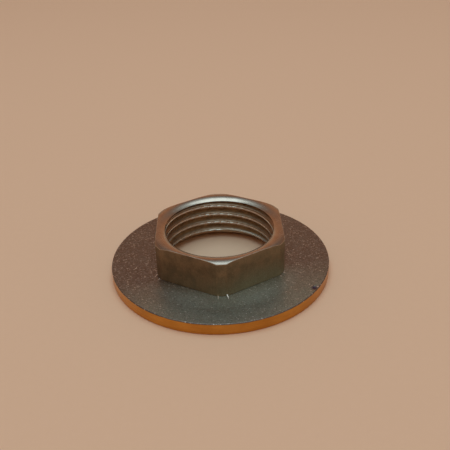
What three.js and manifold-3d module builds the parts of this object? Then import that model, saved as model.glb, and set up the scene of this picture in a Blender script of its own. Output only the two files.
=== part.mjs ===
// A flanged hexagon nut: a threaded hexagon whose thin spigot passes through a round
// plate and is flared over into a countersink on the plate's underside.
// Millimetres, +Z up along the thread's axis towards the hexagon. The origin is the
// centre of the plate's underside, the face that bears on the work.

import * as THREE from "three";
import { mergeVertices } from "three/addons/utils/BufferGeometryUtils.js";
import Module from "manifold-3d";

// Driving dimensions, in millimetres and degrees
const ACROSS_FLATS = 25;
const CORNER_DIAMETER = 27.8; // turned before the flats were cut, so each corner keeps a round land
const NUT_HEIGHT = 9.77;

const CROWN_TOP_RADIUS = 12.6; // where the top face is highest
const CROWN_ROUND = 2.88; // of the top face, from the corners over its highest ring and down into the bore

const THREAD_MAJOR_DIAMETER = 24;
const THREAD_PITCH = 2;
const THREAD_FLANK_ANGLE = 30; // from the plane across the axis
const THREAD_DEPTH = 0.5413 * THREAD_PITCH;
const THREAD_ROOT_FLAT = THREAD_PITCH / 8;
const THREAD_START_HEIGHT = 1.19; // a groove's middle on the +Y side; turns are counted from there
// From here on, countersinking pressed the groove's upper edge down to a fixed height.
const FOLD_START_TURN = 3.66;
const RUNOUT_START_TURN = 4.16; // the last groove gets shallower from here
const RUNOUT_END_TURN = 4.23;
const RUNOUT_RADIUS = 10.75; // inside the bore, so the groove ends where its root comes out of the wall
const SHARP_ROOT_TRIM = 0.001; // taken off the point of a sharp root, so that the tool keeps a width

const PLATE_DIAMETER = 44.2;
const PLATE_THICKNESS = 2.35;
const PLATE_EDGE_CHAMFER = 0.15;

const SPIGOT_DIAMETER = 24.8;
const FLARE_HEIGHT = 1; // where the spigot turns outwards, at 45 degrees
const FLARE_RECESS = 0.1; // the flared rim stays this far above the bearing face
const FLARE_MOUTH_RADIUS = 13; // of the cone inside the flare, at the bearing face
const FIT_GAP = 0.05; // between spigot and plate, on the radius

const SEGMENTS = 72; // flat facets in a full turn

// Values that follow from them
const BORE_RADIUS = THREAD_MAJOR_DIAMETER / 2 - THREAD_DEPTH;
const CORNER_RADIUS = CORNER_DIAMETER / 2;
const SPIGOT_RADIUS = SPIGOT_DIAMETER / 2;
const OVERRUN = 1; // how far a tool runs past the faces that it cuts
const TOOL_INNER_RADIUS = RUNOUT_RADIUS - 0.05;

const wasm = await Module();
wasm.setup();

const radians = THREE.MathUtils.degToRad;

// A closed geometry as a solid that can be joined and cut.
function solidOf(geometry) {
  const bare = geometry.clone();
  bare.deleteAttribute("normal");
  bare.deleteAttribute("uv");
  const merged = mergeVertices(bare, 1e-4);
  return new wasm.Manifold(
    new wasm.Mesh({
      numProp: 3,
      vertProperties: merged.attributes.position.array,
      triVerts: new Uint32Array(merged.index.array),
    }),
  );
}

function geometryOf(solid) {
  const mesh = solid.getMesh();
  const geometry = new THREE.BufferGeometry();
  geometry.setAttribute("position", new THREE.BufferAttribute(mesh.vertProperties, 3));
  geometry.setIndex(new THREE.BufferAttribute(mesh.triVerts, 1));
  const faceted = geometry.toNonIndexed();
  faceted.computeVertexNormals();
  return faceted;
}

// A profile of [radius, height] points, turned about the Z axis.
function turned(profile) {
  const points = profile.map(([radius, height]) => new THREE.Vector2(radius, height));
  return new THREE.LatheGeometry(points, SEGMENTS).rotateX(Math.PI / 2);
}

// The rounded top face from the corners inwards, closed off inside the bore.
function crownProfile() {
  const steps = 12;
  const outerTurn = Math.asin((CORNER_RADIUS - CROWN_TOP_RADIUS) / CROWN_ROUND);
  const innerTurn = Math.asin((RUNOUT_RADIUS - CROWN_TOP_RADIUS) / CROWN_ROUND);
  const points = [];
  for (let step = 0; step <= steps; step += 1) {
    const turn = THREE.MathUtils.lerp(outerTurn, innerTurn, step / steps);
    points.push([
      CROWN_TOP_RADIUS + CROWN_ROUND * Math.sin(turn),
      NUT_HEIGHT - CROWN_ROUND * (1 - Math.cos(turn)),
    ]);
  }
  const innerHeight = points[steps][1];
  return [...points, [0, innerHeight]];
}

function hexagonPrism(acrossFlats, low, high) {
  const shape = new THREE.Shape();
  const cornerRadius = acrossFlats / Math.sqrt(3);
  for (let corner = 0; corner < 6; corner += 1) {
    const angle = radians(90 + 60 * corner);
    const x = cornerRadius * Math.cos(angle);
    const y = cornerRadius * Math.sin(angle);
    if (corner === 0) shape.moveTo(x, y);
    else shape.lineTo(x, y);
  }
  shape.closePath();
  const options = { depth: high - low, bevelEnabled: false };
  return new THREE.ExtrudeGeometry(shape, options).translate(0, 0, low);
}

// The head: a turned crown on a round bar, cut to a hexagon.
function hexagonHead() {
  const bar = turned([[0, PLATE_THICKNESS], [CORNER_RADIUS, PLATE_THICKNESS], ...crownProfile()]);
  const prism = hexagonPrism(ACROSS_FLATS, PLATE_THICKNESS - OVERRUN, NUT_HEIGHT + OVERRUN);
  return solidOf(bar).intersect(solidOf(prism));
}

// The spigot as it stands after its end was flared outwards.
function flaredSpigot() {
  const rimRadius = SPIGOT_RADIUS + FLARE_HEIGHT - FLARE_RECESS;
  return solidOf(
    turned([
      [0, FLARE_RECESS],
      [rimRadius, FLARE_RECESS],
      [SPIGOT_RADIUS, FLARE_HEIGHT],
      [SPIGOT_RADIUS, PLATE_THICKNESS + OVERRUN],
      [0, PLATE_THICKNESS + OVERRUN],
    ]),
  );
}

// What the drill and the lower countersink take away.
function boreTool() {
  return solidOf(
    turned([
      [0, -OVERRUN],
      [FLARE_MOUTH_RADIUS + OVERRUN, -OVERRUN],
      [BORE_RADIUS, FLARE_MOUTH_RADIUS - BORE_RADIUS],
      [BORE_RADIUS, NUT_HEIGHT + OVERRUN],
      [0, NUT_HEIGHT + OVERRUN],
    ]),
  );
}

// The groove's section after this many turns: [radius, rise above the groove's middle] points.
function grooveSection(turn) {
  const spread = Math.tan(radians(THREAD_FLANK_ANGLE));
  const fold = THREAD_PITCH * Math.max(0, turn - FOLD_START_TURN);
  const runout = THREE.MathUtils.smoothstep(turn, RUNOUT_START_TURN, RUNOUT_END_TURN);
  const rootRadius = THREE.MathUtils.lerp(THREAD_MAJOR_DIAMETER / 2, RUNOUT_RADIUS, runout);
  // Folding narrows the root flat, and past that the flanks meet at a sharp root.
  const flat = THREAD_ROOT_FLAT - fold;
  const sharpRadius = THREAD_MAJOR_DIAMETER / 2 + flat / (2 * spread) - SHARP_ROOT_TRIM;
  const tipRadius = Math.min(rootRadius, sharpRadius);
  const halfWidth = (radius) => THREAD_ROOT_FLAT / 2 + (THREAD_MAJOR_DIAMETER / 2 - radius) * spread;
  return [
    [TOOL_INNER_RADIUS, -halfWidth(TOOL_INNER_RADIUS)],
    [tipRadius, -halfWidth(tipRadius)],
    [tipRadius, halfWidth(tipRadius) - fold],
    [TOOL_INNER_RADIUS, halfWidth(TOOL_INNER_RADIUS) - fold],
  ];
}

// A right-hand groove, swept along its helix from below the bore to its run-out in the countersink.
function threadTool() {
  const turnsBelow = Math.ceil((THREAD_START_HEIGHT + OVERRUN) / THREAD_PITCH);
  const first = -turnsBelow * SEGMENTS;
  const last = Math.ceil(RUNOUT_END_TURN * SEGMENTS);
  const corners = 4;
  const positions = [];
  for (let step = first; step <= last; step += 1) {
    const turn = step / SEGMENTS;
    const angle = radians(90) + 2 * Math.PI * turn;
    const middle = THREAD_START_HEIGHT + THREAD_PITCH * turn;
    for (const [radius, rise] of grooveSection(turn)) {
      positions.push(radius * Math.cos(angle), radius * Math.sin(angle), middle + rise);
    }
  }
  const indices = [];
  for (let step = 0; step < last - first; step += 1) {
    for (let corner = 0; corner < corners; corner += 1) {
      const here = step * corners + corner;
      const beside = step * corners + ((corner + 1) % corners);
      indices.push(here, beside + corners, beside);
      indices.push(here, here + corners, beside + corners);
    }
  }
  const end = (last - first) * corners;
  indices.push(0, 1, 2, 0, 2, 3);
  indices.push(end, end + 2, end + 1, end, end + 3, end + 2);
  const geometry = new THREE.BufferGeometry();
  geometry.setAttribute("position", new THREE.Float32BufferAttribute(positions, 3));
  geometry.setIndex(indices);
  return solidOf(geometry);
}

function makeHexNut() {
  const body = hexagonHead().add(flaredSpigot());
  return geometryOf(body.subtract(boreTool()).subtract(threadTool()));
}

function makeFlangePlate() {
  const rim = PLATE_DIAMETER / 2;
  const hole = SPIGOT_RADIUS + FIT_GAP;
  const chamfer = PLATE_EDGE_CHAMFER;
  return turned([
    [hole, FLARE_HEIGHT],
    [hole + FLARE_HEIGHT, 0],
    [rim - chamfer, 0],
    [rim, chamfer],
    [rim, PLATE_THICKNESS - chamfer],
    [rim - chamfer, PLATE_THICKNESS],
    [hole, PLATE_THICKNESS],
    [hole, FLARE_HEIGHT],
  ]);
}

function named(name, geometry, material) {
  const mesh = new THREE.Mesh(geometry, material);
  mesh.name = name;
  return mesh;
}

const turnedSteel = new THREE.MeshStandardMaterial({ color: 0x8f877c, roughness: 0.35, metalness: 1 });
const blastedSteel = new THREE.MeshStandardMaterial({ color: 0x7d7c74, roughness: 0.55, metalness: 1 });

const nut = new THREE.Group();
nut.add(named("hex_nut", makeHexNut(), turnedSteel));
nut.add(named("flange_plate", makeFlangePlate(), blastedSteel));

export default nut;
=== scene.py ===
"""A flanged hexagon nut: the fine surface, the materials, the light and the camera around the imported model.

Shapes are worked out in millimetres and degrees and turned into metres when a mesh is made. The frame is
the CAD model's: +Z up along the thread, origin in the middle of the plate's underside.
"""

import math

import bpy
import numpy as np
from mathutils import Matrix, Vector


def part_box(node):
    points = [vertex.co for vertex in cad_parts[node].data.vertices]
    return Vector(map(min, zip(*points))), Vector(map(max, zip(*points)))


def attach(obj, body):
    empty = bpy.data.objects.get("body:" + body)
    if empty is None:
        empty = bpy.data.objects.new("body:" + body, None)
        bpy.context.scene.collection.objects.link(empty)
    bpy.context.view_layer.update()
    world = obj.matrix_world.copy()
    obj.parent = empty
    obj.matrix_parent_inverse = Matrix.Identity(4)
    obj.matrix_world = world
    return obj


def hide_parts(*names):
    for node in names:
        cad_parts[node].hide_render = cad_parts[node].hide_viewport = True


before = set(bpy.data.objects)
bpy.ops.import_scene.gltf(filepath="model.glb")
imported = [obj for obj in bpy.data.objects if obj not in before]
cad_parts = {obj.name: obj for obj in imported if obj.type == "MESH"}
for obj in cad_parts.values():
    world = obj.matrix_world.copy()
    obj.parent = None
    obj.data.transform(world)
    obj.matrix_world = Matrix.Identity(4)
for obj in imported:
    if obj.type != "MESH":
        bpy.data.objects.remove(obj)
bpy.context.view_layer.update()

MM = 0.001

# Sizes of the two CAD nodes, in millimetres
nut_low, nut_high = (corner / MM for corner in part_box("hex_nut"))
plate_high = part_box("flange_plate")[1] / MM
FLAT_RADIUS = 12.5  # half across the flats; the node's box is wider, because of the flare
CORNER_RADIUS = nut_high.y
NUT_TOP = nut_high.z
NUT_BOTTOM = nut_low.z
PLATE_RADIUS = plate_high.x
PLATE_TOP = plate_high.z

# The nut's top face: one rounding from the corners over the crest and down into the bore
CROWN_CREST_RADIUS = 12.6
CROWN_ROUND = 2.88

# The right-hand thread
THREAD_PITCH = 2
THREAD_ROOT_RADIUS = 12
THREAD_DEPTH = 0.5413 * THREAD_PITCH
THREAD_CREST_RADIUS = THREAD_ROOT_RADIUS - THREAD_DEPTH
THREAD_FLANK = math.tan(math.radians(30))
THREAD_ROOT_FLAT = THREAD_PITCH / 8
THREAD_START_HEIGHT = 1.19  # a groove's middle on the +Y side; turns are counted from there
FOLD_START_TURN = 3.66  # from here countersinking pressed the groove's upper edge down to a fixed height
END_TURNS = (4.16, 4.23)  # where the last groove runs out
THREAD_ROUNDING = 0.12
CREST_ROLL = 0.15  # how far each crest's lower edge is rolled inwards
CREST_ROLL_HEIGHT = 0.81  # above the middle of the groove below
CREST_ROLL_WIDTH = 0.17
CREST_ROLL_END_TURNS = (3.4, 3.65)

# The spigot below the plate's top and the flare at its end
SPIGOT_RADIUS = 12.4
FLARE_START_HEIGHT = 1
FLARE_RIM_RADIUS = SPIGOT_RADIUS + FLARE_START_HEIGHT - NUT_BOTTOM
FLARE_MOUTH_RADIUS = 13
BORE_BOTTOM = NUT_BOTTOM + 0.05
CONE_TOP_HEIGHT = FLARE_MOUTH_RADIUS - THREAD_CREST_RADIUS  # of the cone inside the flare

# Small breaks of the edges
CROWN_EDGE_BREAK = 0.11
CROWN_EDGE_VARIATION = 0.35  # as a share of the break
BASE_EDGE_BREAK = 0.07
LAND_EDGE_SOFTNESS = 0.05
PLATE_EDGE_BREAK = 0.15
PLATE_EDGE_VARIATION = 0.3
PLATE_EDGE_LEAST = 0.05
PLATE_EDGE_MOST = 0.24

# The plate, and a dent in its top face close to the rim
PLATE_HOLE_RADIUS = 12.45
DENT_ANGLE = 324.8
DENT_RADIUS = 21.45
DENT_LENGTH = 1.3
DENT_WIDTH = 0.5
DENT_DEPTH = 0.12

# Rows of faces in the nut's mesh
BORE_ROWS = 190
CROWN_ROWS = 24
CROWN_EDGE_ROWS = 5
WALL_ROWS = 8

# Each body's materials, by their places in its list
THREAD, CROWN, FLATS, FLARE = range(4)
FACES, RIM, EDGE = range(3)


# ---------------------------------------------------------------- shapes


def soft_min(a, b, width):
    """The lower of a and b, rounded where they cross."""
    share = np.clip(width - np.abs(a - b), 0, None) / width
    return np.minimum(a, b) - share * share * width / 4


def soft_max(a, b, width):
    return -soft_min(-a, -b, width)


def smoothstep(value, low, high):
    share = np.clip((value - low) / (high - low), 0, 1)
    return share * share * (3 - 2 * share)


def wander(angles, seed, waves):
    """A smooth random curve round the full circle, from about -1 to 1."""
    random = np.random.default_rng(seed)
    total = np.zeros_like(angles)
    for wave in range(2, waves):
        total += random.normal() * np.cos(wave * angles + random.uniform(0, 2 * math.pi))
    return total / (1.6 * math.sqrt(waves))


def between(start, end, count):
    """Rows from start to end for each column, without the end."""
    share = np.linspace(0, 1, count, endpoint=False)[None, :]
    return np.reshape(start, (-1, 1)) * (1 - share) + np.reshape(end, (-1, 1)) * share


def all_round(values, columns):
    """The same rows for every column."""
    return np.tile(values, (columns, 1))


def ring_mesh(name, angles, radii, heights):
    """A closed ring: one column of points for each angle, the last row joined to the first."""
    columns, rows = radii.shape
    points = np.stack(
        [radii * np.cos(angles)[:, None], radii * np.sin(angles)[:, None], heights], axis=-1
    )
    column = np.arange(columns)[:, None] * rows
    beside = (np.arange(columns)[:, None] + 1) % columns * rows
    row = np.arange(rows)[None, :]
    above = (row + 1) % rows
    faces = np.stack([column + row, column + above, beside + above, beside + row], axis=-1)
    mesh = bpy.data.meshes.new(name)
    mesh.from_pydata((points.reshape(-1, 3) * MM).tolist(), [], faces.reshape(-1, 4).tolist())
    return mesh


def finished(mesh, materials, material_rows, sharp_angle):
    """The mesh in the scene: smooth up to sharp_angle, each face's material by its row."""
    for material in materials:
        mesh.materials.append(material)
    columns = len(mesh.polygons) // len(material_rows)
    mesh.polygons.foreach_set("material_index", np.tile(material_rows, columns).astype(np.int32))
    mesh.shade_smooth()
    mesh.set_sharp_from_angle(angle=math.radians(sharp_angle))
    piece = bpy.data.objects.new(mesh.name, mesh)
    bpy.context.scene.collection.objects.link(piece)
    return piece


def ring_piece(name, angles, sections, materials, sharp_angle):
    """A ring from sections of (material, radii, heights); a row's material fills the faces after it."""
    radii = np.concatenate([section[1] for section in sections], axis=1)
    heights = np.concatenate([section[2] for section in sections], axis=1)
    material_rows = np.concatenate([[kind] * rows.shape[1] for kind, rows, _ in sections])
    return finished(ring_mesh(name, angles, radii, heights), materials, material_rows, sharp_angle)


def crown_height(radius):
    """Height of the nut's top face."""
    from_crest = radius - CROWN_CREST_RADIUS
    return NUT_TOP - CROWN_ROUND + np.sqrt(np.clip(CROWN_ROUND**2 - from_crest**2, 0, None))


def nearest_groove(angles, heights):
    """How many turns along the thread the nearest groove is, up to where the last one runs out."""
    turn = angles / (2 * math.pi) - 0.25
    groove = np.round((heights - THREAD_START_HEIGHT) / THREAD_PITCH - turn)
    return turn + np.minimum(groove, np.floor(END_TURNS[1] - turn))


def bore_radius(angles, heights):
    """Radius of the inside: the thread, or the cone inside the flare where that is wider."""
    turns = nearest_groove(angles, heights)
    across = heights - THREAD_START_HEIGHT - THREAD_PITCH * turns
    fold = THREAD_PITCH * np.clip(turns - FOLD_START_TURN, 0, None)
    lower = THREAD_ROOT_RADIUS + (across + THREAD_ROOT_FLAT / 2) / THREAD_FLANK
    upper = THREAD_ROOT_RADIUS - (across + fold - THREAD_ROOT_FLAT / 2) / THREAD_FLANK
    root = THREAD_ROOT_RADIUS - THREAD_DEPTH * smoothstep(turns, *END_TURNS)
    thread = soft_min(np.minimum(lower, upper), root, THREAD_ROUNDING)
    thread = soft_max(thread, THREAD_CREST_RADIUS, THREAD_ROUNDING)
    roll = CREST_ROLL * (1 - smoothstep(turns, *CREST_ROLL_END_TURNS))
    thread -= roll * np.exp(-(((across - CREST_ROLL_HEIGHT) / CREST_ROLL_WIDTH) ** 2))
    return np.maximum(thread, FLARE_MOUTH_RADIUS - heights)


def lip_heights(angles):
    """Where the inside meets the top face, for each angle, found by stepping up the bore."""
    well_below = 8.2
    steps = 1200
    heights = np.linspace(well_below, NUT_TOP, steps)[None, :].repeat(len(angles), axis=0)
    inside = bore_radius(angles[:, None], heights)
    first_in_air = np.argmax(heights >= crown_height(inside), axis=1)
    return heights[np.arange(len(angles)), first_in_air]


def nut_angles():
    """Angles of the nut's columns, close together at the edges of the corner lands.

    Each sixth is counted in degrees from the middle of a flat; a land's edge lies between before and after.
    """
    before, after, corner = 25.2, 26.8, 30
    half = np.concatenate(
        [
            np.linspace(0, before, 14, endpoint=False),
            np.linspace(before, after, 8, endpoint=False),
            np.linspace(after, corner, 4),
        ]
    )
    sector = np.concatenate([-half[:0:-1], half[:-1]])
    return np.radians((sector[None, :] + 60 * np.arange(6)[:, None]).ravel())


def hexagon_outline(angles):
    """Radius of the hexagon's flats and of the turned lands at its corners."""
    from_flat = (angles + math.pi / 6) % (math.pi / 3) - math.pi / 6
    return soft_min(FLAT_RADIUS / np.cos(from_flat), CORNER_RADIUS, LAND_EDGE_SOFTNESS)


def crown_section(lip_radius, outline, edge_break):
    """The top face from the lip outwards, then its broken edge as a curve that bends at the corner."""
    edge_start = outline - edge_break
    face = between(lip_radius, edge_start, CROWN_ROWS)
    turn = np.linspace(0, 1, CROWN_EDGE_ROWS, endpoint=False)[None, :]
    at_start = (1 - turn) ** 2
    at_corner = 2 * turn * (1 - turn)
    at_end = turn**2
    corner_height = crown_height(outline)[:, None]
    end_height = corner_height - edge_break[:, None]
    edge_radii = edge_start[:, None] * at_start + outline[:, None] * (at_corner + at_end)
    edge_heights = (
        crown_height(edge_start)[:, None] * at_start + corner_height * at_corner + end_height * at_end
    )
    radii = np.concatenate([face, edge_radii], axis=1)
    heights = np.concatenate([crown_height(face), edge_heights], axis=1)
    return CROWN, radii, heights


def wall_section(outline, edge_break):
    """The flats and lands from the crown's edge down, and the broken edge at their foot."""
    top = crown_height(outline) - edge_break
    foot = PLATE_TOP + BASE_EDGE_BREAK
    below_edge = 0.3
    wall_heights = between(top - below_edge, foot, WALL_ROWS)
    base_radii = np.stack([outline, outline - BASE_EDGE_BREAK], axis=1)
    base_heights = all_round([foot, PLATE_TOP], len(outline))
    radii = np.concatenate([outline[:, None].repeat(1 + WALL_ROWS, axis=1), base_radii], axis=1)
    heights = np.concatenate([top[:, None], wall_heights, base_heights], axis=1)
    return FLATS, radii, heights


def flare_section(columns):
    """The spigot inside the plate and its flared end, with a rounded rim."""
    profile = np.array(
        [
            [SPIGOT_RADIUS, PLATE_TOP],
            [SPIGOT_RADIUS, FLARE_START_HEIGHT + 0.06],
            [SPIGOT_RADIUS + 0.04, FLARE_START_HEIGHT - 0.04],
            [FLARE_RIM_RADIUS - 0.14, NUT_BOTTOM + 0.16],
            [FLARE_RIM_RADIUS - 0.06, NUT_BOTTOM + 0.08],
            [FLARE_RIM_RADIUS - 0.1, NUT_BOTTOM + 0.01],
            [FLARE_RIM_RADIUS - 0.2, NUT_BOTTOM],
            [FLARE_MOUTH_RADIUS - NUT_BOTTOM + 0.05, NUT_BOTTOM],
        ]
    )
    radii, heights = profile.T
    return FLARE, all_round(radii, columns), all_round(heights, columns)


def make_hex_nut(materials):
    angles = nut_angles()
    outline = hexagon_outline(angles)
    lip = lip_heights(angles)
    bore_heights = between(BORE_BOTTOM, lip, BORE_ROWS)
    edge_break = CROWN_EDGE_BREAK * (1 + CROWN_EDGE_VARIATION * wander(angles, seed=3, waves=60))
    sections = [
        (THREAD, bore_radius(angles[:, None], bore_heights), bore_heights),
        crown_section(bore_radius(angles, lip), outline, edge_break),
        wall_section(outline, edge_break),
        flare_section(len(angles)),
    ]
    return ring_piece("nut_body", angles, sections, materials, sharp_angle=32)


def plate_angles():
    """A column at every degree, and closer together round the dent."""
    reach, spacing, least_gap = 4, 0.25, 0.2
    near_dent = np.arange(DENT_ANGLE - reach, DENT_ANGLE + reach, spacing)
    coarse = np.arange(0, 360, 1.0)
    coarse = coarse[(coarse < near_dent[0] - least_gap) | (coarse > near_dent[-1] + least_gap)]
    return np.radians(np.sort(np.concatenate([coarse, near_dent])))


def plate_top(angles, edge_break):
    """Radii and heights of the top face, with the dent; its rows are closer together near the rim."""
    inner = np.linspace(0.01, 0.85, 22)
    outer = np.linspace(0.87, 1, 14)
    share = np.concatenate([inner, outer])[None, :]
    radii = (PLATE_HOLE_RADIUS + 0.1) * (1 - share) + (PLATE_RADIUS - edge_break)[:, None] * share
    sideways = (angles[:, None] - math.radians(DENT_ANGLE)) * radii / (DENT_LENGTH / 2)
    inwards = (radii - DENT_RADIUS) / (DENT_WIDTH / 2)
    return radii, PLATE_TOP - DENT_DEPTH * np.exp(-(sideways**2) - inwards**2)


def plate_edge(edge_break):
    """Radii and heights of the rounded edge between the top face and the rim."""
    outwards = np.array([0.35, 0.7, 0.95, 1])
    downwards = np.array([0.08, 0.35, 0.75, 1])
    radii = (PLATE_RADIUS - edge_break)[:, None] + edge_break[:, None] * outwards
    return radii, PLATE_TOP - edge_break[:, None] * downwards


def make_flange_plate(materials):
    angles = plate_angles()
    edge_break = PLATE_EDGE_BREAK * (1 + PLATE_EDGE_VARIATION * wander(angles, seed=11, waves=90))
    edge_break = np.clip(edge_break, PLATE_EDGE_LEAST, PLATE_EDGE_MOST)
    top_radii, top_heights = plate_top(angles, edge_break)
    edge_radii, edge_heights = plate_edge(edge_break)

    def round_section(kind, radii, heights):
        return kind, all_round(radii, len(angles)), all_round(heights, len(angles))

    countersink_radius = PLATE_HOLE_RADIUS + FLARE_START_HEIGHT
    hole_radii = [countersink_radius, PLATE_HOLE_RADIUS, PLATE_HOLE_RADIUS, PLATE_HOLE_RADIUS + 0.04]
    hole_heights = [0, FLARE_START_HEIGHT, PLATE_TOP - 0.04, PLATE_TOP]
    side_heights = np.linspace(PLATE_TOP - 0.3, PLATE_EDGE_BREAK + 0.1, 6)
    underside = np.linspace(PLATE_RADIUS - 1, countersink_radius + 0.1, 12)
    sections = [
        round_section(FACES, hole_radii, hole_heights),
        (FACES, top_radii[:, :-1], top_heights[:, :-1]),
        (EDGE, top_radii[:, -1:], top_heights[:, -1:]),
        (EDGE, edge_radii[:, :-1], edge_heights[:, :-1]),
        (RIM, edge_radii[:, -1:], edge_heights[:, -1:]),
        round_section(RIM, 0 * side_heights + PLATE_RADIUS, side_heights),
        round_section(RIM, [PLATE_RADIUS, PLATE_RADIUS - 0.04], [PLATE_EDGE_BREAK - 0.01, 0.05]),
        round_section(FACES, [PLATE_RADIUS - PLATE_EDGE_BREAK, PLATE_RADIUS - 0.5], [0, 0]),
        round_section(FACES, underside, 0 * underside),
    ]
    return ring_piece("plate_body", angles, sections, materials, sharp_angle=50)


# Slivers of metal left on the plate by the milling cutter, at the edges of the corner lands:
# angle and radius where each starts, angle and radius where it ends, its height
BURRS = [
    (266.67, 13.85, 266.8, 14.8, 0.22),
    (273.5, 13.78, 274.56, 15.0, 0.42),
    (204.5, 13.85, 207.1, 14.7, 0.08),
    (210.6, 14.0, 211.9, 14.55, 0.08),
    (330.6, 14.0, 330.9, 14.4, 0.07),
    (325.2, 14.0, 325.0, 14.4, 0.06),
    (26.1, 13.95, 26.6, 14.6, 0.1),
    (33.7, 13.95, 33.2, 14.4, 0.08),
    (86.4, 13.95, 86.0, 14.7, 0.1),
    (93.8, 13.95, 94.6, 14.5, 0.08),
    (146.2, 13.95, 146.6, 14.5, 0.08),
    (153.9, 13.95, 154.3, 14.8, 0.1),
]
BURR_WIDTH = 0.28
BURR_BEND = 0.06
BURR_END_HEIGHT = 0.02  # at the point
BURR_ROOT = 0.02  # how far each sliver reaches into the plate
BURR_STEPS = 8


def polar(angle, radius):
    return np.array([radius * math.cos(math.radians(angle)), radius * math.sin(math.radians(angle))])


def burr_points(start, end, height):
    """Four points across the sliver at each step, widest near its start and pointed at its end."""
    along = (end - start) / np.linalg.norm(end - start)
    across = np.array([-along[1], along[0]])
    points = []
    for step in range(BURR_STEPS + 1):
        share = step / BURR_STEPS
        width = BURR_WIDTH / 2 * math.sqrt(max(0.02, 1 - share)) * min(1, 0.4 + 3 * share)
        middle = start + (end - start) * share + across * BURR_BEND * math.sin(3 * share)
        rise = height * (1 - share) ** 1.2 + BURR_END_HEIGHT
        for side, lift in ((-1, -BURR_ROOT), (-0.8, 0.9 * rise), (0.8, rise), (1, -BURR_ROOT)):
            x, y = middle + across * side * width
            points.append((x * MM, y * MM, (PLATE_TOP + lift) * MM))
    return points


def make_burrs(material):
    """All the slivers as closed ridges in one mesh."""
    sides = 4
    points = []
    faces = []
    for start_angle, start_radius, end_angle, end_radius, height in BURRS:
        first = len(points)
        points += burr_points(polar(start_angle, start_radius), polar(end_angle, end_radius), height)
        for step in range(BURR_STEPS):
            for side in range(sides):
                here = first + step * sides + side
                beside = first + step * sides + (side + 1) % sides
                faces.append((here, beside, beside + sides, here + sides))
        faces.append((first, first + 3, first + 2, first + 1))
        last = first + BURR_STEPS * sides
        faces.append((last, last + 1, last + 2, last + 3))
    mesh = bpy.data.meshes.new("milling_burrs")
    mesh.from_pydata(points, [], faces)
    return finished(mesh, [material], material_rows=[0], sharp_angle=50)


# ------------------------------------------------------------- materials


class Graph:
    """A material's nodes, added one at a time; an input is a number, a colour or another node's output.

    Lengths in a material are in millimetres, as they are in the shapes.
    """

    def __init__(self, name):
        self.material = bpy.data.materials.new(name)
        self.material.use_nodes = True
        self.tree = self.material.node_tree
        self.shader = self.tree.nodes["Principled BSDF"]
        coordinates = self.tree.nodes.new("ShaderNodeTexCoord")
        self.place = self.scaled(coordinates.outputs["Object"], (1 / MM,) * 3)

    def set_input(self, socket, value):
        if isinstance(value, bpy.types.NodeSocket):
            self.tree.links.new(value, socket)
        else:
            socket.default_value = value

    def add(self, kind, inputs, output=0, **settings):
        node = self.tree.nodes.new(kind)
        for name, value in settings.items():
            setattr(node, name, value)
        for name, value in inputs.items():
            self.set_input(node.inputs[name], value)
        return node.outputs[output]

    def scaled(self, vector, factors):
        return self.add("ShaderNodeVectorMath", {0: vector, 1: factors}, operation="MULTIPLY")

    def math(self, operation, *values):
        return self.add("ShaderNodeMath", dict(enumerate(values)), operation=operation)

    def noise(self, scale, detail, roughness, place=None):
        inputs = {"Vector": place or self.place, "Scale": scale, "Detail": detail, "Roughness": roughness}
        return self.add("ShaderNodeTexNoise", inputs)

    def cells(self, scale, place=None):
        """A random number for each small cell."""
        inputs = {"Vector": place or self.place, "Scale": scale}
        colour = self.add("ShaderNodeTexVoronoi", inputs, output="Color")
        return self.add("ShaderNodeSeparateColor", {"Color": colour})

    def ramp(self, value, low, high, to_low=0.0, to_high=1.0):
        """value from low..high stretched to to_low..to_high, and held beyond low and high."""
        inputs = {"Value": value, 1: low, 2: high, 3: to_low, 4: to_high}
        return self.add("ShaderNodeMapRange", inputs, clamp=True)

    def mix(self, share, first, second):
        node = self.tree.nodes.new("ShaderNodeMix")
        node.data_type = "RGBA"
        self.set_input(node.inputs[0], share)
        self.set_input(node.inputs[6], first)
        self.set_input(node.inputs[7], second)
        return node.outputs[2]

    def bump(self, height, distance, strength, normal=None):
        inputs = {"Height": height, "Distance": distance * MM, "Strength": strength}
        if normal:
            inputs["Normal"] = normal
        return self.add("ShaderNodeBump", inputs)

    def separate(self):
        """x, y and height, in millimetres."""
        parts = self.tree.nodes.new("ShaderNodeSeparateXYZ")
        self.tree.links.new(self.place, parts.inputs[0])
        return parts.outputs

    def separate_round(self):
        """Radius and height in millimetres, with the angle in radians between them."""
        x, y, height = self.separate()
        squares = self.math("ADD", self.math("MULTIPLY", x, x), self.math("MULTIPLY", y, y))
        return self.math("SQRT", squares), self.math("ARCTAN2", y, x), height

    def combine(self, x, y, z):
        """A place for a noise, so that its grain follows the way that the metal was cut."""
        return self.add("ShaderNodeCombineXYZ", {"X": x, "Y": y, "Z": z})

    def band(self, value, low_end, low, high, high_end):
        """1 between low and high, falling to 0 at low_end and high_end."""
        rising = self.ramp(value, low_end, low)
        return self.math("MULTIPLY", rising, self.ramp(value, high, high_end, 1.0, 0.0))

    def near(self, angle, radius, inside, outside):
        """1 within inside of a point on the plate's top face, falling to 0 at outside."""
        point = (*polar(angle, radius), PLATE_TOP)
        distance = self.add("ShaderNodeVectorMath", {0: self.place, 1: point}, 1, operation="DISTANCE")
        return self.ramp(distance, inside, outside, 1.0, 0.0)

    def finish(self, **inputs):
        """The material, with the inputs of its shader set."""
        for name, value in inputs.items():
            self.set_input(self.shader.inputs[name.replace("_", " ")], value)
        return self.material


def rgb(red, green, blue):
    return (red, green, blue, 1.0)


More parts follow.
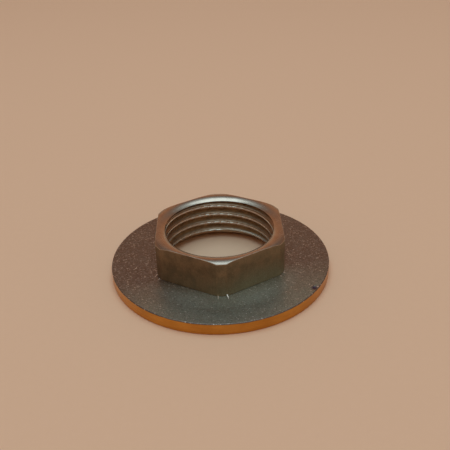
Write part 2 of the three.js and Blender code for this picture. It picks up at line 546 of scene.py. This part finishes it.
def crown_material():
    """Turned face: fine rings, a soft sheen, faint stains, and painted shade where it falls away outwards."""
    shade_start, shade_end = 12.95, 13.35
    g = Graph("turned_crown")
    radius, angle, height = g.separate_round()
    rings = g.noise(9.0, 3.0, 0.6, g.combine(radius, g.math("MULTIPLY", angle, 0.25), height))
    stains = g.noise(0.7, 5.0, 0.65)
    steel = g.mix(g.ramp(stains, 0.35, 0.65), rgb(0.54, 0.54, 0.51), rgb(0.47, 0.445, 0.405))
    # Painted shade: darker beyond shade_start, to dim the highlight on the outer slope at the corners
    steel = g.mix(g.ramp(radius, shade_start, shade_end, 0.0, 0.7), steel, rgb(0.32, 0.31, 0.29))
    colour = g.mix(g.ramp(rings, 0.3, 0.7, 0.0, 0.2), steel, rgb(0.36, 0.31, 0.26))
    return g.finish(
        Base_Color=colour,
        Metallic=1.0,
        Roughness=g.ramp(rings, 0.3, 0.7, 0.21, 0.28),
        Normal=g.bump(rings, 0.004, 0.4),
    )


def flat_material():
    """Milled flats: dark and mottled, their brown partly a painted warm reflection, faint upright tool marks,
    and a green cast towards +X and the foot that is a painted reflection of the plate.
    """
    g = Graph("milled_flats")
    x, _, height = g.separate()
    stains = g.noise(0.45, 5.0, 0.65)
    marks = g.noise(3.0, 3.0, 0.55, g.scaled(g.place, (1.0, 1.0, 0.15)))
    grain = g.noise(6.0, 3.0, 0.65)
    # Painted reflection: a green cast towards +X and low on the flats, where they mirror the plate
    cast = g.math("MULTIPLY", g.ramp(x, -3.0, 5.0, 0.3, 1.0), g.ramp(height, 2.4, 7.0, 0.9, 0.2))
    # The brown tones are partly a painted warm reflection; the mottle between them is stains
    steel = g.mix(g.ramp(stains, 0.4, 0.6), rgb(0.32, 0.22, 0.135), rgb(0.20, 0.145, 0.09))
    steel = g.mix(cast, steel, rgb(0.45, 0.51, 0.375))
    colour = g.mix(g.ramp(marks, 0.3, 0.7, 0.0, 0.2), steel, rgb(0.18, 0.13, 0.08))
    colour = g.mix(g.ramp(grain, 0.35, 0.65, 0.0, 0.4), colour, rgb(0.15, 0.11, 0.075))
    return g.finish(
        Base_Color=colour,
        Metallic=1.0,
        Roughness=g.ramp(grain, 0.3, 0.7, 0.44, 0.56),
        Normal=g.bump(grain, 0.02, 0.6, g.bump(marks, 0.008, 0.4)),
    )


def thread_material():
    """Cut thread: slanted chatter marks, roots lightened with painted light, and bright lines of painted
    highlight.

    One line runs along each crest's lower edge and one round the top of the cone inside the flare.
    """
    g = Graph("cut_thread")
    radius, angle, height = g.separate_round()
    slanted = g.math("ADD", g.math("MULTIPLY", angle, 11.0), g.math("MULTIPLY", height, 1.4))
    chatter = g.noise(1.1, 3.0, 0.55, g.combine(slanted, g.math("MULTIPLY", radius, 0.5), height))
    stains = g.noise(0.8, 4.0, 0.6)
    steel = g.mix(g.ramp(stains, 0.35, 0.65), rgb(0.40, 0.35, 0.28), rgb(0.33, 0.27, 0.20))
    # Painted light: the roots are lighter and warmer, standing in for light reaching into the grooves
    near_root = g.ramp(radius, THREAD_CREST_RADIUS + 0.15, THREAD_CREST_RADIUS + 0.5)
    colour = g.mix(near_root, steel, rgb(0.52, 0.40, 0.285))
    colour = g.mix(g.ramp(chatter, 0.45, 0.7, 0.0, 0.55), colour, rgb(0.24, 0.19, 0.135))
    climb = g.math("MULTIPLY_ADD", angle, -1 / (2 * math.pi), 0.25)
    rise = g.math("MULTIPLY_ADD", height, 1 / THREAD_PITCH, -THREAD_START_HEIGHT / THREAD_PITCH)
    # How far above the middle of the groove below, in parts of the pitch
    phase = g.math("FRACT", g.math("ADD", rise, climb))
    # Painted highlights: bright lines along each crest's lower edge and round the top of the cone
    on_crests = g.band(phase, 0.37, 0.40, 0.49, 0.52)
    above_cone = g.band(g.math("SUBTRACT", height, CONE_TOP_HEIGHT), -0.1, 0.0, 0.2, 0.4)
    wear_and_highlight = g.math("MAXIMUM", on_crests, above_cone)
    wear_and_highlight = g.math("MULTIPLY", wear_and_highlight, g.ramp(chatter, 0.3, 0.6, 1.0, 0.55))
    colour = g.mix(wear_and_highlight, colour, rgb(0.80, 0.95, 0.97))
    return g.finish(
        Base_Color=colour,
        Metallic=g.ramp(wear_and_highlight, 0.0, 1.0, 1.0, 0.7),
        Roughness=g.math("MULTIPLY_ADD", wear_and_highlight, -0.14, g.ramp(chatter, 0.3, 0.7, 0.30, 0.45)),
        Normal=g.bump(chatter, 0.04, 0.6),
    )


def flare_material():
    """The pressed end below the plate."""
    g = Graph("pressed_flare")
    radius, angle, height = g.separate_round()
    rings = g.noise(6.0, 3.0, 0.6, g.combine(radius, g.math("MULTIPLY", angle, 0.4), height))
    steel = g.mix(g.ramp(rings, 0.3, 0.7), rgb(0.5, 0.46, 0.4), rgb(0.34, 0.3, 0.25))
    return g.finish(
        Base_Color=steel,
        Metallic=1.0,
        Roughness=g.ramp(rings, 0.3, 0.7, 0.3, 0.45),
        Normal=g.bump(rings, 0.015, 0.6),
    )


def plate_material():
    """Plate faces: a fine dark grain with small bright flecks, which are painted glints.

    In front of the nut the top face has a green cast, a painted reflection of the flats, which is strongest
    and less glossy at the nut's foot, where it is painted light against the shade there.
    The dent is painted dark as shade, with a painted glint beside it.
    """
    cast_direction = (0.15, -0.99, 0)
    cast_start, cast_full = 5.5, 16.0
    foot_start, foot_end = 13.8, 18.0
    g = Graph("grained_plate")
    radius, _, height = g.separate_round()
    forwards = g.add("ShaderNodeVectorMath", {0: g.place, 1: cast_direction}, 1, operation="DOT_PRODUCT")
    grain = g.noise(5.0, 4.0, 0.7)
    facets = g.cells(3.4)
    flecks = g.cells(6.5, g.scaled(g.place, (0.7, 1.2, 1.0)))
    stains = g.noise(0.28, 4.0, 0.55)
    on_top = g.ramp(height, PLATE_TOP - 0.4, PLATE_TOP - 0.2)
    # Painted reflection: a green cast on the top face in front of the nut
    in_front = g.math("MULTIPLY", on_top, g.ramp(forwards, cast_start, cast_full, 0.0, 0.9))
    # Painted light: strongest, and less metallic, at the nut's foot, to lift the shade there
    at_foot = g.math("MULTIPLY", in_front, g.ramp(radius, foot_start, foot_end, 1.0, 0.0))
    steel = g.mix(g.ramp(stains, 0.35, 0.65), rgb(0.32, 0.285, 0.255), rgb(0.29, 0.235, 0.205))
    steel = g.mix(in_front, steel, rgb(0.44, 0.56, 0.51))
    steel = g.mix(at_foot, steel, rgb(0.54, 0.73, 0.68))
    colour = g.mix(g.ramp(grain, 0.35, 0.65, 0.0, 0.75), steel, rgb(0.10, 0.095, 0.09))
    colour = g.mix(g.ramp(facets, 0.4, 1.0, 0.0, 0.35), colour, rgb(0.46, 0.50, 0.50))
    # Painted glints: small bright flecks, as if single grains caught the light
    colour = g.mix(g.ramp(flecks, 0.945, 0.995), colour, rgb(0.85, 0.96, 1.0))
    # Painted shade: the dent is dark
    colour = g.mix(g.near(DENT_ANGLE, DENT_RADIUS, 0.3, 0.8), colour, rgb(0.09, 0.07, 0.13))
    # Painted glint: a bright fleck beside the dent
    colour = g.mix(g.near(DENT_ANGLE + 1.8, DENT_RADIUS + 0.35, 0.08, 0.3), colour, rgb(0.85, 0.88, 0.95))
    return g.finish(
        Base_Color=colour,
        Metallic=g.math("MULTIPLY_ADD", at_foot, -0.35, 1.0),
        Roughness=g.math("MULTIPLY_ADD", at_foot, 0.1, g.ramp(flecks, 0.0, 1.0, 0.44, 0.30)),
        Normal=g.bump(grain, 0.05, 0.6),
    )


def rim_material():
    """The plate's turned rim: smooth, with an orange tint that is a painted reflection of a warm floor."""
    g = Graph("turned_rim")
    radius, angle, height = g.separate_round()
    rings = g.noise(5.0, 3.0, 0.6, g.combine(g.math("MULTIPLY", angle, 1.2), radius, height))
    stains = g.noise(0.25, 3.0, 0.5)
    # Painted reflection: the orange tones stand in for the warm floor mirrored in the rim
    steel = g.mix(g.ramp(stains, 0.35, 0.65), rgb(0.66, 0.315, 0.065), rgb(0.56, 0.25, 0.048))
    colour = g.mix(g.ramp(rings, 0.3, 0.7, 0.0, 0.3), steel, rgb(0.33, 0.155, 0.04))
    return g.finish(
        Base_Color=colour,
        Metallic=1.0,
        Roughness=g.ramp(rings, 0.3, 0.7, 0.26, 0.36),
        Normal=g.bump(rings, 0.008, 0.5),
    )


def edge_material():
    """The broken edge between the plate's top and its rim: dark as a painted dark reflection, with painted
    glints where it is nicked.
    """
    g = Graph("nicked_edge")
    nick_glints = g.noise(1.8, 3.0, 0.7)
    grain = g.noise(5.0, 3.0, 0.6)
    # Painted reflection: the edge is dark, as if it mirrored dim surroundings
    steel = g.mix(g.ramp(grain, 0.35, 0.65), rgb(0.20, 0.19, 0.19), rgb(0.12, 0.115, 0.12))
    # Painted glints: bright spots on the nicks
    colour = g.mix(g.ramp(nick_glints, 0.58, 0.66), steel, rgb(0.85, 0.84, 0.80))
    return g.finish(
        Base_Color=colour,
        Metallic=1.0,
        Roughness=g.ramp(nick_glints, 0.4, 0.7, 0.45, 0.3),
        Normal=g.bump(grain, 0.03, 0.6),
    )


def burr_material():
    """Freshly torn metal: bright, with no stains."""
    g = Graph("bright_burr")
    wear_and_highlight = g.noise(8.0, 3.0, 0.6)
    colour = g.mix(g.ramp(wear_and_highlight, 0.3, 0.7), rgb(0.95, 0.95, 0.94), rgb(0.82, 0.82, 0.80))
    return g.finish(Base_Color=colour, Metallic=1.0, Roughness=0.35, Normal=g.bump(wear_and_highlight, 0.01, 0.5))


def floor_material():
    """Pale warm paper, with a faint mottle."""
    g = Graph("pale_floor")
    grain = g.noise(0.8, 3.0, 0.6)
    colour = g.mix(g.ramp(grain, 0.3, 0.7, 0.0, 0.3), rgb(0.94, 0.74, 0.57), rgb(0.91, 0.71, 0.54))
    return g.finish(Base_Color=colour, Roughness=0.9)


# ----------------------------------------------- floor, light and camera


FLOOR_HALF = 3.0
FLOOR_HEIGHT = -0.02 * MM  # a hair below the plate


def make_floor():
    signs = ((-1, -1), (1, -1), (1, 1), (-1, 1))
    corners = [(x * FLOOR_HALF, y * FLOOR_HALF, FLOOR_HEIGHT) for x, y in signs]
    mesh = bpy.data.meshes.new("floor")
    mesh.from_pydata(corners, [], [(0, 1, 2, 3)])
    mesh.materials.append(floor_material())
    floor = bpy.data.objects.new("floor", mesh)
    bpy.context.scene.collection.objects.link(floor)


LIGHT_PLACE = (0, -0.06, 0.6)
LIGHT_SIZE = (0.42, 0.66)
LIGHT_POWER = 0.86
LIGHT_COLOUR = (0.92, 1.0, 0.98)


def make_light():
    """One large soft light overhead, facing straight down."""
    light = bpy.data.lights.new("overhead", "AREA")
    light.shape = "RECTANGLE"
    light.size, light.size_y = LIGHT_SIZE
    light.energy = LIGHT_POWER
    light.color = LIGHT_COLOUR
    lamp = bpy.data.objects.new("overhead", light)
    lamp.location = LIGHT_PLACE
    bpy.context.scene.collection.objects.link(lamp)


def make_surroundings():
    """Warm from the horizon up, then dim and neutral, and pale overhead."""
    world = bpy.data.worlds.new("surroundings")
    world.use_nodes = True
    tree = world.node_tree
    coordinates = tree.nodes.new("ShaderNodeTexCoord")
    parts = tree.nodes.new("ShaderNodeSeparateXYZ")
    ramp = tree.nodes.new("ShaderNodeValToRGB")
    tree.links.new(coordinates.outputs["Generated"], parts.inputs[0])
    tree.links.new(parts.outputs["Z"], ramp.inputs[0])
    tree.links.new(ramp.outputs[0], tree.nodes["Background"].inputs["Color"])
    stops = ramp.color_ramp.elements
    stops[0].position = 0.0
    stops[0].color = rgb(0.50, 0.35, 0.24)
    stops[1].position = 0.97
    stops[1].color = rgb(0.55, 0.60, 0.57)
    for position, colour in (
        (0.14, rgb(0.50, 0.34, 0.23)),
        (0.22, rgb(0.49, 0.21, 0.10)),
        (0.54, rgb(0.38, 0.16, 0.08)),
        (0.66, rgb(0.25, 0.13, 0.08)),
        (0.77, rgb(0.20, 0.15, 0.125)),
        (0.84, rgb(0.40, 0.42, 0.40)),
    ):
        stop = stops.new(position)
        stop.color = colour
    bpy.context.scene.world = world


CAMERA_DISTANCE = 0.13335
CAMERA_ELEVATION = 33.91
CAMERA_AZIMUTH = -0.41
CAMERA_ROLL = -2.13
CAMERA_YAW = 0.387
CAMERA_PITCH = 3.597
CAMERA_LENS = 51.35  # in millimetres, as is the sensor's width
CAMERA_SENSOR_WIDTH = 36
CAMERA_NEAR = 0.005


def make_camera():
    """Looks from in front and above at the origin, then rolls, turns right and tips up by small angles."""
    elevation = math.radians(CAMERA_ELEVATION)
    roll, yaw, pitch = (math.radians(angle) for angle in (CAMERA_ROLL, CAMERA_YAW, CAMERA_PITCH))
    place = Vector((0, -math.cos(elevation), math.sin(elevation))) * CAMERA_DISTANCE
    forward = -place.normalized()
    side = Vector((1, 0, 0))
    up = side.cross(forward)
    side, up = math.cos(roll) * side + math.sin(roll) * up, -math.sin(roll) * side + math.cos(roll) * up
    forward, side = (
        math.cos(yaw) * forward + math.sin(yaw) * side,
        -math.sin(yaw) * forward + math.cos(yaw) * side,
    )
    forward, up = (
        math.cos(pitch) * forward + math.sin(pitch) * up,
        -math.sin(pitch) * forward + math.cos(pitch) * up,
    )
    pose = Matrix((side, up, -forward)).transposed().to_4x4()
    pose.translation = place
    data = bpy.data.cameras.new("camera")
    data.lens = CAMERA_LENS
    data.sensor_width = CAMERA_SENSOR_WIDTH
    data.clip_start = CAMERA_NEAR
    camera = bpy.data.objects.new("camera", data)
    camera.matrix_world = Matrix.Rotation(math.radians(CAMERA_AZIMUTH), 4, "Z") @ pose
    bpy.context.scene.collection.objects.link(camera)
    bpy.context.scene.camera = camera


# ------------------------------------------------------------- the scene

make_floor()
make_surroundings()
make_light()
make_camera()

nut_body = make_hex_nut([thread_material(), crown_material(), flat_material(), flare_material()])
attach(nut_body, "root")
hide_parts("hex_nut")

plate_body = make_flange_plate([plate_material(), rim_material(), edge_material()])
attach(plate_body, "root")
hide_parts("flange_plate")

burrs = make_burrs(burr_material())
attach(burrs, "root")

bpy.context.scene.view_settings.view_transform = "Standard"
